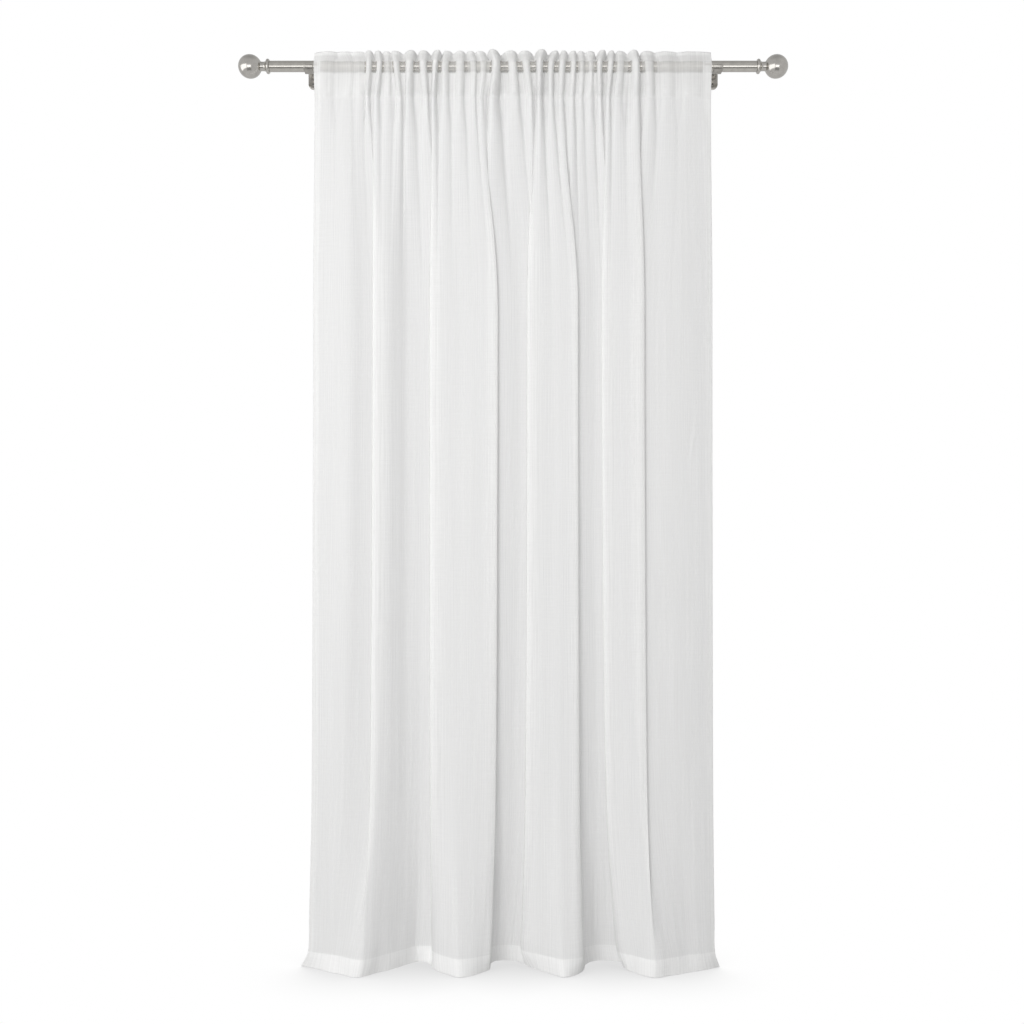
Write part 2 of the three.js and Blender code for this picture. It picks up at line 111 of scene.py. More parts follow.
def finished(name, bm, material, sharp=32):
    """Turns worked metal into a smooth piece with its edges kept sharp."""
    bmesh.ops.remove_doubles(bm, verts=bm.verts, dist=1e-6)
    bmesh.ops.recalc_face_normals(bm, faces=bm.faces)
    mesh = bpy.data.meshes.new(name)
    bm.to_mesh(mesh)
    bm.free()
    mesh.shade_smooth()
    mesh.set_sharp_from_angle(angle=math.radians(sharp))
    mesh.materials.append(material)
    piece = bpy.data.objects.new(name, mesh)
    bpy.context.scene.collection.objects.link(piece)
    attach(piece, "root")
    return piece


def softened(bm, edges, width, segments=2):
    """Rounds off the given edges."""
    bmesh.ops.bevel(
        bm, geom=edges, offset=width, segments=segments, affect="EDGES", profile=0.5, material=-1
    )


def sharp_edges(bm, angle=50):
    """The edges where two faces meet at more than the given angle."""
    inner = [e for e in bm.edges if len(e.link_faces) == 2]
    return [e for e in inner if e.calc_face_angle() > math.radians(angle)]


def kind(made, what):
    """The vertices, edges or faces among what an operator made."""
    return [part for part in made if isinstance(part, what)]


def wall_plate():
    """The plate flat in X and Z around its centre, with its two screw holes."""
    bm = bmesh.new()
    rim = bmesh.ops.create_circle(bm, radius=PLATE_WIDTH / 2, segments=48)["verts"]
    for vertex in rim:
        if abs(vertex.co.y) > 1e-6:
            vertex.co.y += math.copysign(PLATE_HEIGHT / 2 - PLATE_WIDTH / 2, vertex.co.y)
    for side in (-1, 1):
        hole = Matrix.Translation((0, side * SCREW_SPACING / 2, 0))
        bmesh.ops.create_circle(bm, radius=SCREW_HOLE / 2, segments=20, matrix=hole)
    bmesh.ops.triangle_fill(bm, edges=bm.edges, use_beauty=True)
    made = bmesh.ops.extrude_face_region(bm, geom=bm.faces[:])
    top = kind(made["geom"], bmesh.types.BMVert)
    bmesh.ops.translate(bm, verts=top, vec=(0, 0, PLATE_THICKNESS))
    bmesh.ops.recalc_face_normals(bm, faces=bm.faces)
    front = [e for e in sharp_edges(bm) if all(v.co.z > PLATE_THICKNESS / 2 for v in e.verts)]
    outline = [e for e in front if e.verts[0].co.length > PLATE_WIDTH / 2 - 1e-4]
    beyond_holes = SCREW_SPACING / 2 + SCREW_HOLE
    rounded = [
        e for e in outline if abs(e.verts[0].co.x) > SCREW_HOLE or abs(e.verts[0].co.y) > beyond_holes
    ]
    softened(bm, rounded, PLATE_EDGE)
    bmesh.ops.rotate(bm, verts=bm.verts, cent=(0, 0, 0), matrix=UPRIGHT)
    bmesh.ops.translate(bm, verts=bm.verts, vec=(0, WALL, PLATE_CENTRE - ROD_AXIS))
    return bm


def cradle(bm):
    """A half ring under the rod with a low wall behind it, its lower corners rounded off."""
    outside = CRADLE_INSIDE + CRADLE_WALL
    half = CRADLE_WIDTH / 2
    lip = [bm.verts.new((-half, -outside, 0)), bm.verts.new((-half, -CRADLE_INSIDE, 0))]
    edge = bm.edges.new(lip)
    ring = bmesh.ops.spin(
        bm, geom=[edge, *lip], cent=(0, 0, 0), axis=(1, 0, 0), angle=math.pi, steps=28
    )["geom_last"]
    back = bmesh.ops.extrude_edge_only(bm, edges=kind(ring, bmesh.types.BMEdge))
    raised = kind(back["geom"], bmesh.types.BMVert)
    bmesh.ops.translate(bm, verts=raised, vec=(0, 0, CRADLE_BACK))
    section = [f for f in bm.faces if all(abs(v.co.x + half) < 1e-6 for v in f.verts)]
    made = bmesh.ops.extrude_face_region(bm, geom=section)
    far = kind(made["geom"], bmesh.types.BMVert)
    bmesh.ops.translate(bm, verts=far, vec=(CRADLE_WIDTH, 0, 0))
    for vertex in [v for v in bm.verts if v.co.z < CRADLE_CORNER - outside]:
        down = CRADLE_CORNER - outside - vertex.co.z
        reach = half - CRADLE_CORNER + math.sqrt(max(CRADLE_CORNER**2 - down**2, 0))
        vertex.co.x = math.copysign(reach, vertex.co.x)


def bracket_body():
    """The cradle with its edges softened."""
    bm = bmesh.new()
    cradle(bm)
    bmesh.ops.recalc_face_normals(bm, faces=bm.faces)
    softened(bm, sharp_edges(bm), CRADLE_EDGE, 3)
    return bm


def bracket_arm():
    """A bar with rounded corners that widens into a foot where it meets the plate."""
    bm = bmesh.new()
    rim = bmesh.ops.create_circle(bm, cap_ends=True, radius=0.5, segments=32)["verts"]
    for vertex in rim:
        x, y = vertex.co.x * 2, vertex.co.y * 2
        square = max(abs(x), abs(y)) ** 0.75
        vertex.co.x, vertex.co.y = x / square * ARM_WIDTH / 2, y / square * ARM_HEIGHT / 2
    bmesh.ops.rotate(bm, verts=bm.verts, cent=(0, 0, 0), matrix=UPRIGHT.inverted())
    bmesh.ops.translate(bm, verts=bm.verts, vec=(0, CRADLE_INSIDE + CRADLE_WALL / 2, 0))
    face = bm.faces[:]
    for run, wide in ARM_STRETCHES:
        made = bmesh.ops.extrude_face_region(bm, geom=face)
        end = kind(made["geom"], bmesh.types.BMVert)
        face = kind(made["geom"], bmesh.types.BMFace)
        bmesh.ops.translate(bm, verts=end, vec=(0, run, 0))
        middle = Vector((0, end[0].co.y, 0))
        grow = wide / max(abs(v.co.x) for v in end) * ARM_WIDTH / 2
        bmesh.ops.scale(bm, verts=end, vec=(grow, 1, grow), space=Matrix.Translation(-middle))
    return bm


def joined(parts):
    """One bmesh that holds the shells of several."""
    whole = bmesh.new()
    for part in parts:
        bmesh.ops.remove_doubles(part, verts=part.verts, dist=1e-6)
        bmesh.ops.recalc_face_normals(part, faces=part.faces)
        shell = bpy.data.meshes.new("shell")
        part.to_mesh(shell)
        part.free()
        whole.from_mesh(shell)
        bpy.data.meshes.remove(shell)
    return whole


cast_nickel = metal(
    "cast_satin_nickel",
    dark=(0.40, 0.385, 0.36), light=(0.52, 0.50, 0.47),
    stretch=(1, 1, 1), size=900.0, rough=(0.15, 0.28), bump=0.35,
)
for side, sign in (("left", -1), ("right", 1)):
    whole = joined([wall_plate(), bracket_body(), bracket_arm()])
    bmesh.ops.translate(whole, verts=whole.verts, vec=(sign * BRACKET_AT, 0, ROD_AXIS))
    bracket = finished(f"rod_bracket_{side}", whole, cast_nickel)
    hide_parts(f"bracket_{side}")

# Four steel wall screws with round heads and cross recesses, two through each plate. Their
# shanks end level with the back of the plate, where the wall would be.
SCREW_SHANK, SCREW_HEAD, HEAD_HEIGHT, HEAD_RIM = 0.002, 0.0042, 0.0028, 0.0006
HEAD_SEAT = PLATE_THICKNESS + 0.0003
RECESS_ARM, RECESS_WAIST, RECESS_DEPTH, RECESS_TAPER = 0.0020, 0.0008, 0.0013, 0.6
DOME_ANGLES = (12, 24, 36, 48, 58)


def turned(profile, axis, steps):
    """A profile of radius and place along +Z, spun into a closed round piece."""
    bm = bmesh.new()
    points = [bm.verts.new((radius, 0, along)) for radius, along in profile]
    edges = [bm.edges.new(pair) for pair in zip(points, points[1:])]
    bmesh.ops.spin(
        bm, geom=points + edges, cent=(0, 0, 0), axis=(0, 0, 1),
        angle=2 * math.pi, steps=steps, use_merge=True,
    )
    bmesh.ops.remove_doubles(bm, verts=bm.verts, dist=1e-6)
    bmesh.ops.rotate(bm, verts=bm.verts, cent=(0, 0, 0), matrix=axis)
    return bm


def wall_screw():
    """A shank and a domed head, its cross recess sunk from the dome's open rim."""
    rim_top = HEAD_SEAT + HEAD_RIM
    turns = [math.radians(angle) for angle in DOME_ANGLES]
    dome = [(SCREW_HEAD * math.cos(a), rim_top + (HEAD_HEIGHT - HEAD_RIM) * math.sin(a)) for a in turns]
    profile = [(0, 0), (SCREW_SHANK, 0), (SCREW_SHANK, HEAD_SEAT), (SCREW_HEAD, HEAD_SEAT)]
    profile += [(SCREW_HEAD, rim_top), *dome]
    bm = turned(profile, Matrix.Identity(3), 32)
    top = max(v.co.z for v in bm.verts)
    rim = [e for e in bm.edges if e.is_boundary]
    made = bmesh.ops.extrude_edge_only(bm, edges=rim)
    recess = kind(made["geom"], bmesh.types.BMVert)
    for vertex in recess:
        turn = math.atan2(vertex.co.y, vertex.co.x)
        arm = abs(math.cos(2 * turn)) ** 6
        reach = RECESS_WAIST + (RECESS_ARM - RECESS_WAIST) * arm
        vertex.co = (reach * math.cos(turn), reach * math.sin(turn), top + 0.0001)
    made = bmesh.ops.extrude_edge_only(bm, edges=kind(made["geom"], bmesh.types.BMEdge))
    floor = kind(made["geom"], bmesh.types.BMVert)
    bmesh.ops.translate(bm, verts=floor, vec=(0, 0, -RECESS_DEPTH))
    bmesh.ops.scale(bm, verts=floor, vec=(RECESS_TAPER, RECESS_TAPER, 1))
    bmesh.ops.holes_fill(bm, edges=kind(made["geom"], bmesh.types.BMEdge), sides=0)
    bmesh.ops.rotate(bm, verts=bm.verts, cent=(0, 0, 0), matrix=UPRIGHT)
    return bm


screw_steel = metal(
    "zinc_plated_screw",
    dark=(0.20, 0.19, 0.18), light=(0.33, 0.32, 0.30),
    stretch=(1, 1, 1), size=1400.0, rough=(0.28, 0.42), bump=0.2,
)
for side, sign in (("left", -1), ("right", 1)):
    for level, up in (("upper", 1), ("lower", -1)):
        body = wall_screw()
        height = PLATE_CENTRE + up * SCREW_SPACING / 2
        bmesh.ops.translate(body, verts=body.verts, vec=(sign * BRACKET_AT, WALL, height))
        screw = finished(f"wall_screw_{side}_{level}", body, screw_steel)
        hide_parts(f"screw_{side}_{level}")

# The rod is a plain 25.4 mm steel tube, brushed along its length and plated in satin nickel.
# It lies in the two cradles, and its ends are open for the finials' spigots.
ROD_RADIUS, BORE_RADIUS, ROD_LENGTH, ROD_CHAMFER = 0.0127, 0.0115, 1.134, 0.0003

along_rod = Matrix.Rotation(math.pi / 2, 3, "Y")
end = ROD_LENGTH / 2
tube = turned(
    [
        (BORE_RADIUS, -end), (ROD_RADIUS - ROD_CHAMFER, -end), (ROD_RADIUS, ROD_CHAMFER - end),
        (ROD_RADIUS, end - ROD_CHAMFER), (ROD_RADIUS - ROD_CHAMFER, end), (BORE_RADIUS, end),
        (BORE_RADIUS, -end),
    ],
    along_rod,
    96,
)
bmesh.ops.translate(tube, verts=tube.verts, vec=(0, 0, ROD_AXIS))
brushed_nickel = metal(
    "brushed_satin_nickel",
    dark=(0.55, 0.53, 0.495), light=(0.64, 0.62, 0.58),
    stretch=(4, 900, 900), size=1.0, rough=(0.12, 0.22), bump=0.12,
)
rod = finished("rod_brushed_tube", tube, brushed_nickel)
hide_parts("rod_tube")

# Two ball finials, turned from one bar each: a spigot in the tube, a rounded collar on its end,
# a neck with a small flare at the collar, and a ball.
BALL_RADIUS, BALL_CENTRE = 0.02725, 0.046
COLLAR_RADIUS, COLLAR_WIDTH, COLLAR_START = 0.0172, 0.0076, 0.0003
NECK_RADIUS, NECK_START, NECK_END, NECK_FLARE = 0.0106, 0.0129, 0.019, 0.0014
FLARE_WIDE, FLARE_NARROW, FILLET = 0.0094, 0.0108, 0.0006
SPIGOT_LENGTH, SPIGOT_RADIUS, SPIGOT_CHAMFER = 0.024, 0.0112, 0.0008


def swell(centre, reach, base, half, start, stop, steps):
    """Points of an arc from start to stop degrees, as radius and place along the axis."""
    turns = [math.radians(start + (stop - start) * i / steps) for i in range(steps + 1)]
    return [(base + reach * math.cos(a), centre + half * math.sin(a)) for a in turns]


collar_base = NECK_RADIUS + 2 * NECK_FLARE
collar_middle = COLLAR_START + COLLAR_WIDTH / 2
join = math.degrees(math.acos((NECK_RADIUS + NECK_FLARE / 2) / BALL_RADIUS))
finial_profile = [
    (0, -SPIGOT_LENGTH), (SPIGOT_RADIUS - SPIGOT_CHAMFER, -SPIGOT_LENGTH),
    (SPIGOT_RADIUS, SPIGOT_CHAMFER - SPIGOT_LENGTH), (SPIGOT_RADIUS, COLLAR_START),
    *swell(collar_middle, COLLAR_RADIUS - collar_base, collar_base, COLLAR_WIDTH / 2, -90, 90, 16),
    (NECK_RADIUS + NECK_FLARE, FLARE_WIDE), (NECK_RADIUS + NECK_FLARE * 0.45, FLARE_NARROW),
    (NECK_RADIUS, NECK_START), (NECK_RADIUS, NECK_END - FILLET),
    *swell(BALL_CENTRE, BALL_RADIUS, 0, BALL_RADIUS, -join, 88, 44),
    (0, BALL_CENTRE + BALL_RADIUS),
]
turned_nickel = metal(
    "turned_satin_nickel",
    dark=(0.55, 0.53, 0.50), light=(0.63, 0.61, 0.575),
    stretch=(900, 60, 60), size=1.0, rough=(0.12, 0.20), bump=0.06,
)
for side, sign in (("left", -1), ("right", 1)):
    body = turned(finial_profile, Matrix.Rotation(sign * math.pi / 2, 3, "Y"), 96)
    bmesh.ops.translate(body, verts=body.verts, vec=(sign * end, 0, ROD_AXIS))
    finial = finished(f"ball_finial_{side}", body, turned_nickel)
    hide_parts(f"finial_{side}")

# The curtain is one panel of sheer white voile, 52 inches wide and 84 inches long when made up.
# Its sides are turned back 16 mm, its foot 40 mm, and its head is folded to the back and sewn
# down, which leaves a pocket for the rod and a short heading above it. Sizes are in millimetres.
CLOTH_WIDTH, CLOTH_HEIGHT = 1321, 2134
SIDE_HEM, BOTTOM_HEM, STITCH_HEIGHT = 16, 40, 2028
ROD_MM, POCKET_RADIUS, HEADING_START = 2100, 13.6, 2126

# How far a turned-back side, the turned-up hem and the facing at its seams lie behind the face.
SIDE_GAP, HEM_GAP, SEAM_GAP = 0.9, 2.2, 0.6

# The levels of the folds, and how far each has come from the laps to the deep folds. The last is
# the foot, which has places of its own.
FOLD_LEVELS = [1532, 1160, 391, 110, 40, 0]
FOLD_SHARES = [0.0, 0.03, 0.3, 0.8, 1.0]
LINE_STEPS = 16

# Where each line of the folds lies at the heading, and its x and depth y in the flat laps under
# the heading, in the deep folds over the hem, and at the foot. Front is minus. Where a fold laps
# over, its edge and its foot change places in x.
FOLDS = [
    (-463, (-467, 6), (-477, -6), (-496, 10)), (-434, (-428, -10), (-444, -18), (-452, -12)),
    (-400, (-381, -20), (-415, -30), (-420, -33)), (-352, (-346, -12), (-394, -40), (-398, -42)),
    (-332, (-306, -5), (-378, -50), (-382, -52)), (-326, (-297, -9), (-362, -59), (-368, -60)),
    (-320, (-327, -15), (-346, -62), (-354, -62)), (-312, (-318, -18), (-330, -55), (-338, -54)),
    (-292, (-290, -14), (-308, -36), (-314, -34)), (-272, (-268, -5), (-282, -16), (-284, -14)),
    (-250, (-244, 5), (-256, 6), (-256, 12)), (-222, (-208, 7), (-224, 32), (-222, 38)),
    (-202, (-172, 5), (-200, 30), (-204, 30)), (-196, (-163, 2), (-186, 22), (-192, 14)),
    (-190, (-195, -3), (-190, 4), (-188, -2)), (-182, (-186, -6), (-182, -14), (-178, -18)),
    (-160, (-160, -6), (-154, -40), (-152, -42)), (-128, (-130, -6), (-126, -58), (-123, -63)),
    (-92, (-94, -10), (-100, -52), (-98, -53)), (-56, (-45, -12), (-72, -38), (-72, -32)),
    (-48, (-35, -9), (-51, -24), (-54, -12)), (-42, (-62, -6), (-55, -4), (-53, 6)),
    (-35, (-53, -3), (-56, 14), (-52, 24)), (-4, (-14, 1), (-38, 32), (-36, 44)),
    (22, (20, 6), (-12, 36), (-12, 46)), (42, (53, 5), (10, 32), (8, 40)),
    (48, (62, 2), (26, 22), (22, 26)), (54, (32, -3), (18, 6), (32, 10)),
    (62, (41, -6), (30, -8), (46, -4)), (80, (64, -6), (62, -26), (66, -22)),
    (94, (86, -6), (88, -44), (92, -44)), (108, (112, -9), (114, -58), (117, -62)),
    (130, (143, -11), (144, -52), (140, -50)), (138, (152, -8), (162, -36), (158, -30)),
    (144, (134, -5), (157, -16), (166, -8)), (151, (143, -2), (155, 4), (168, 10)),
    (178, (170, 3), (176, 26), (180, 32)), (194, (196, 7), (204, 38), (206, 46)),
    (205, (226, 6), (232, 34), (242, 38)), (210, (234, 2), (252, 20), (266, 22)),
    (215, (205, -4), (242, 0), (258, 0)), (222, (214, -7), (252, -18), (264, -18)),
    (240, (236, -6), (272, -30), (278, -30)), (258, (258, -8), (288, -42), (289, -43)),
    (284, (297, -12), (306, -56), (306, -57)), (292, (307, -8), (322, -64), (322, -65)),
    (299, (272, -6), (338, -60), (338, -61)), (306, (281, -2), (354, -52), (355, -53)),
    (336, (320, -2), (378, -41), (380, -43)), (370, (366, -4), (402, -30), (404, -32)),
    (416, (420, -1), (434, -21), (440, -18)), (461, (465, 5), (469, -9), (482, 4)),
]

# The small gathers over the rod: the middle of each at the heading's top, at the rod and at the
# stitch line, and how much of its spare cloth it stands out with.
GATHERS = [
    (-426, -433, -436, 0.15), (-393, -378, -383, 0.7), (-361, -357, -358, 0.6),
    (-335, -334, -340, 1.0), (-314, -309, -320, 1.3), (-294, -290, -292, 0.6),
    (-278, -273, -264, 1.1), (-236, -240, -247, 1.4), (-210, -208, -201, 0.8),
    (-174, -179, -187, 1.4), (-156, -160, -160, 1.0), (-122, -122, -125, 1.0),
    (-99, -91, -91, 0.9), (-78, -70, -77, 0.7), (-49, -41, -50, 1.4),
    (-4, 0, 5, 1.0), (26, 30, 41, 0.8), (67, 62, 60, 1.4),
    (99, 88, 88, 0.8), (117, 114, 110, 1.1), (141, 141, 137, 0.6),
    (157, 160, 157, 1.3), (177, 181, 179, 0.8), (209, 199, 202, 0.9),
    (229, 227, 221, 1.2), (247, 246, 240, 1.1), (281, 285, 287, 1.4),
    (310, 313, 318, 0.8), (354, 357, 360, 0.5), (410, 409, 412, 0.12),
]
GATHER_LIMIT, GATHER_ROUNDNESS, GATHER_STEPS, TUBE_SHARE = 13, 2.2, 24, 0.64
GATHERS_LOOSE = 1930
KNUCKLE_DIP, KNUCKLE_START = 0.85, 2106

# The flat cloth used up from the left edge to four places along the heading, if it were evenly
# full there, and how far the gathers follow this and not the folds under them.
HEADING_LEFT, HEADING_RIGHT = -463, 461
EVEN_HEADING = [(HEADING_LEFT, 0), (-380, 90), (320, 1173), (HEADING_RIGHT, CLOTH_WIDTH)]
EVEN_SHARE = 0.5

# The heights where the pocket's layers are furthest apart for the gathers, begin to close and
# have closed, and how much further the gathers stand out at the top of the heading.
POCKET_FULL, POCKET_CLOSES, POCKET_SHUT = 2062, 2104, 2138
HEADING_SPREAD = 1.3

# The seam pinches the gathers, and puckers them just above it.
PINCH, PINCH_REACH = 0.3, 7
PUCKER, PUCKER_RISE, PUCKER_REACH = 1.5, 8, 5

# One soft slanted crease is left in the right of the panel, half way up.
CREASE_AT, CREASE_SLANT, CREASE_LENGTH = (419, 1229), 0.13, 42
CREASE_RISE, CREASE_WIDTH = 0.9, 3.5
TROUGH_SHARE, TROUGH_ASIDE, TROUGH_WIDTH = 0.7, 6, 4


def cubic(first, last, start, stop, t):
    """From the first value to the last as t goes from 0 to 1, with the slopes start and stop."""
    rise = last - first
    return first + t * (start + t * (3 * rise - 2 * start - stop + t * (start + stop - 2 * rise)))


def monotone(xs, ys):
    """A smooth curve through the points, without overshoot between them."""
    slopes = [(ys[i + 1] - ys[i]) / (xs[i + 1] - xs[i]) for i in range(len(xs) - 1)]
    tangents = []
    for i in range(len(xs)):
        before, after = slopes[max(i - 1, 0)], slopes[min(i, len(slopes) - 1)]
        tangents.append(0 if before * after <= 0 else 2 * before * after / (before + after))

    def at(x):
        i = 0
        while i < len(xs) - 2 and x > xs[i + 1]:
            i += 1
        span = xs[i + 1] - xs[i]
        t = (x - xs[i]) / span
        return cubic(ys[i], ys[i + 1], span * tangents[i], span * tangents[i + 1], t)

    return at


def ease(value, start, stop):
    """0 at start, 1 at stop, smooth between them and level beyond."""
    t = min(max((value - start) / (stop - start), 0), 1)
    return t * t * (3 - 2 * t)


def mix(a, b, share):
    """The value at a share of the way from a to b."""
    return a + (b - a) * share


def run_lengths(points):
    """The lengths along a line of points, from its first."""
    run = [0.0]
    for (x0, y0), (x1, y1) in zip(points, points[1:]):
        run.append(run[-1] + math.hypot(x1 - x0, y1 - y0))
    return run


def spread(points, places):
    """The points at the given lengths along a line, in rising order."""
    run = run_lengths(points)
    found, i = [], 0
    for place in places:
        while i < len(run) - 2 and run[i + 1] < place:
            i += 1
        t = (place - run[i]) / max(run[i + 1] - run[i], 1e-9)
        found.append(tuple(mix(a, b, t) for a, b in zip(points[i], points[i + 1])))
    return found


def level_line(level):
    """One level section of the folds, with LINE_STEPS steps from each of its lines to the next."""
    points = [fold[3] for fold in FOLDS]
    if level < len(FOLD_SHARES):
        share = FOLD_SHARES[level]
        points = [tuple(mix(a, b, share) for a, b in zip(fold[1], fold[2])) for fold in FOLDS]
    order = list(range(len(FOLDS)))
    along, depth = (monotone(order, [point[axis] for point in points]) for axis in (0, 1))
    turns = [i / LINE_STEPS for i in range((len(FOLDS) - 1) * LINE_STEPS + 1)]
    return [(along(turn), depth(turn)) for turn in turns]


LINES = [level_line(level) for level in range(len(FOLD_LEVELS))]
LINE_RUNS = [run_lengths(line)[::LINE_STEPS] for line in LINES]
fold_cloth = [
    CLOTH_WIDTH * sum(run[i] / run[-1] for run in LINE_RUNS) / len(LINES) for i in range(len(FOLDS))
]
folded_cloth = monotone([fold[0] for fold in FOLDS], fold_cloth)
even_cloth = monotone(*zip(*EVEN_HEADING))


def cloth_at(x):
    """The flat cloth used up from the left edge to a place along the heading."""
    return mix(folded_cloth(x), even_cloth(x), EVEN_SHARE)


def tube(t, share):
    """How far a gather stands out at t, from -1 to 1 between its valleys, from 0 to 1."""
    return max(1 - (abs(t) / share) ** GATHER_ROUNDNESS, 0) ** 0.8


def gather_line(height, width):
    """A level section of one gather, from valley to valley."""
    turns = [t / GATHER_STEPS for t in range(-GATHER_STEPS, GATHER_STEPS + 1)]
    return [(width * t, height * tube(t, TUBE_SHARE)) for t in turns]


# Each gather reaches from valley to valley, and its height takes up the cloth between them.
gather_edges = []
for k in range(3):
    middles = [g[k] for g in GATHERS]
    valleys = [(a + b) / 2 for a, b in zip(middles, middles[1:])]
    gather_edges.append([HEADING_LEFT, *valleys, HEADING_RIGHT])
gather_width = [b - a for a, b in zip(gather_edges[1], gather_edges[1][1:])]
cloth_used = [cloth_at(edge) for edge in gather_edges[1]]
gather_spare = [
    max((cloth_used[i + 1] - cloth_used[i] - gather_width[i]) * gather[3], 0.5)
    for i, gather in enumerate(GATHERS)
]
evened = (CLOTH_WIDTH - sum(gather_width)) / sum(gather_spare)
gather_cloth = [0.0]
for width, spare in zip(gather_width, gather_spare):
    gather_cloth.append(gather_cloth[-1] + width + spare * evened)
gather_rise, gather_lines = [], []
for i, width in enumerate(gather_width):
    goal = gather_cloth[i + 1] - gather_cloth[i]
    low, high = 0.0, 2 * GATHER_LIMIT
    for _ in range(30):
        middle = (low + high) / 2
        if run_lengths(gather_line(middle, width / 2))[-1] < goal:
            low = middle
        else:
            high = middle
    gather_rise.append(low / 2)
    gather_lines.append(gather_line(low, width / 2))

# The columns of the cloth, as places across it, with the turned-back sides beyond 0 and the
# panel's width.
COLUMN_STEP, EDGE_STRIP, TURN_WIDTH = 2.6, 0.6, 1.2
steps = round(CLOTH_WIDTH / COLUMN_STEP)
inner = [CLOTH_WIDTH * i / steps for i in range(steps + 1)]
turned_side = [0.4, TURN_WIDTH, 4, 8, 12, SIDE_HEM]
inner = [0.0, EDGE_STRIP, *inner[1:-1], CLOTH_WIDTH - EDGE_STRIP, float(CLOTH_WIDTH)]
places = [-s for s in reversed(turned_side)] + inner + [CLOTH_WIDTH + s for s in turned_side]


class Column:
    """A line of cloth from head to foot, and where it lies in the gathers and in the folds."""

    def __init__(self, place):
        self.place = place
        self.on = min(abs(place), 2 * CLOTH_WIDTH - place) if place > 0 else -place
        self.turned = min(max(-place, place - CLOTH_WIDTH, 0) / TURN_WIDTH, 1)
        i = 0
        while i < len(GATHERS) - 1 and self.on > gather_cloth[i + 1]:
            i += 1
        line = gather_lines[i]
        share = (self.on - gather_cloth[i]) / (gather_cloth[i + 1] - gather_cloth[i])
        x, _ = spread(line, [share * run_lengths(line)[-1]])[0]
        t = x / line[-1][0]
        self.across = t
        self.rise = gather_rise[i]
        self.gathered = []
        for k in range(3):
            middle = GATHERS[i][k]
            edge = gather_edges[k][i] if t < 0 else gather_edges[k][i + 1]
            self.gathered.append(mix(middle, edge, abs(t)))
        i = 0
        while i < len(FOLDS) - 2 and self.on > fold_cloth[i + 1]:
            i += 1
        share = (self.on - fold_cloth[i]) / (fold_cloth[i + 1] - fold_cloth[i])
        self.folded = [
            spread(line, [mix(run[i], run[i + 1], share)])[0] for line, run in zip(LINES, LINE_RUNS)
        ]


columns = [Column(place) for place in places]


def hermite(levels, values, z):
    """A smooth curve through values at falling levels."""
    i = 0
    while i < len(levels) - 2 and z < levels[i + 1]:
        i += 1
    span = levels[i] - levels[i + 1]
    t = (levels[i] - z) / span

    def slope(j):
        a, b = max(j - 1, 0), min(j + 1, len(levels) - 1)
        return (values[b] - values[a]) / (levels[a] - levels[b])

    return cubic(values[i], values[i + 1], slope(i) * span, slope(i + 1) * span, t)


def standing(column, z):
    """How far a column stands out of its gather's middle at a height, from -1 to 1."""
    loose = max(ease(z, ROD_MM, CLOTH_HEIGHT), ease(z, STITCH_HEIGHT, GATHERS_LOOSE))
    return 2 * tube(column.across, mix(TUBE_SHARE, 1, loose)) - 1


def middle_point(column, z):
    """The middle of the cloth at a height, without the pocket's own width."""
    head = hermite([CLOTH_HEIGHT, ROD_MM, STITCH_HEIGHT], column.gathered, max(z, STITCH_HEIGHT))
    pinch = 1 - PINCH * math.exp(-(((z - STITCH_HEIGHT) / PINCH_REACH) ** 2))
    wave = standing(column, z)
    above_seam = (z - STITCH_HEIGHT - PUCKER_RISE) / PUCKER_REACH
    pucker = PUCKER * max(wave, 0) * math.exp(-(above_seam**2))
    spread_out = mix(1, HEADING_SPREAD, ease(z, POCKET_CLOSES, CLOTH_HEIGHT))
    out = -column.rise * wave * pinch * spread_out - pucker
    if z >= STITCH_HEIGHT:
        return head, out
    if z >= FOLD_LEVELS[0]:
        t = (STITCH_HEIGHT - z) / (STITCH_HEIGHT - FOLD_LEVELS[0])
        fold_x, fold_y = column.folded[0]
        share = 1 - (1 - t) ** 2.4
        return mix(head, fold_x, ease(t, -0.25, 1) * share), out * (1 - t) ** 1.8 + fold_y * share
    x = hermite(FOLD_LEVELS, [p[0] for p in column.folded], z)
    y = hermite(FOLD_LEVELS, [p[1] for p in column.folded], z)
    crease_x, crease_z = CREASE_AT
    aside = x - crease_x - CREASE_SLANT * (z - crease_z)
    along = (z - crease_z) / CREASE_LENGTH
    ridge = math.exp(-((aside / CREASE_WIDTH) ** 2))
    trough = TROUGH_SHARE * math.exp(-(((aside + TROUGH_ASIDE) / TROUGH_WIDTH) ** 2))
    return x, y - CREASE_RISE * (ridge - trough) * math.exp(-(along**4))


def pocket_half(z):
    """Half the pocket's own width, which the rod opens."""
    up = z - ROD_MM
    for seam in (STITCH_HEIGHT - ROD_MM, HEADING_START - ROD_MM):
        touch = POCKET_RADIUS**2 / seam
        if up / seam > touch / seam:
            wide = math.sqrt(POCKET_RADIUS**2 - touch**2)
            return mix(wide, SEAM_GAP, min((up - touch) / (seam - touch), 1))
    return math.sqrt(POCKET_RADIUS**2 - up**2)


def pocket_opening(z):
    """How far the two layers of the pocket are apart for the gathers, from 0 to 1."""
    return ease(z, STITCH_HEIGHT, POCKET_FULL) * (1 - ease(z, POCKET_CLOSES, POCKET_SHUT))


